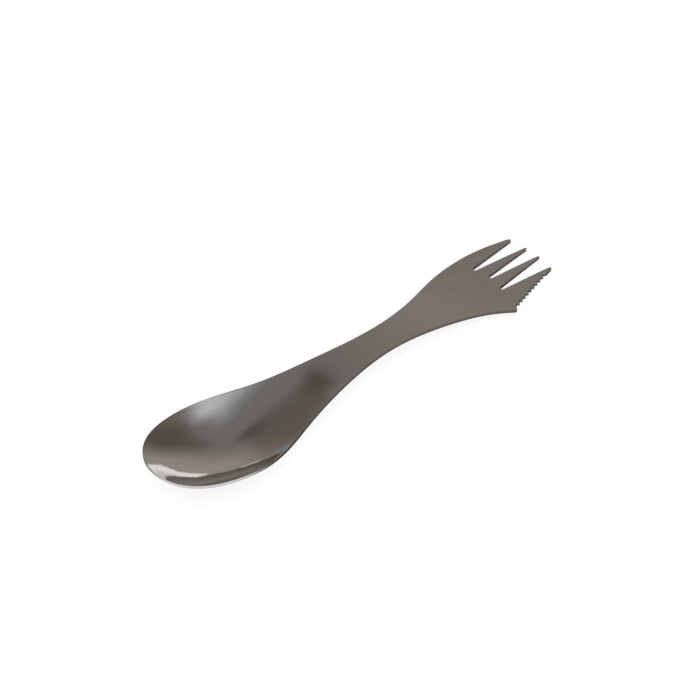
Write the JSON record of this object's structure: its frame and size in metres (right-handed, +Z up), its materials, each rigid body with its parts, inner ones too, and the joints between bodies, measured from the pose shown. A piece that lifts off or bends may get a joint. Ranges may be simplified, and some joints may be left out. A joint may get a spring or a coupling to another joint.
{
  "type": "camping spork",
  "caption": "One-piece steel picnic spork: egg-shaped spoon bowl, slim flat handle, and a tined fork head with a saw-tooth cutting edge on one side.",
  "frame": {"origin": "centre of the footprint, at table height, with the spork lying hollow side up on its bowl and its tine tips", "axes": "+X along the spork from the bowl to the tines, +Z up out of the hollow side, so the serrated edge is on the -Y side"},
  "size_m": [0.17, 0.0368, 0.0106],
  "materials": {
    "steel": "satin"
  },
  "bodies": {
    "root": {"spork": "steel"}
  },
  "joints": []
}
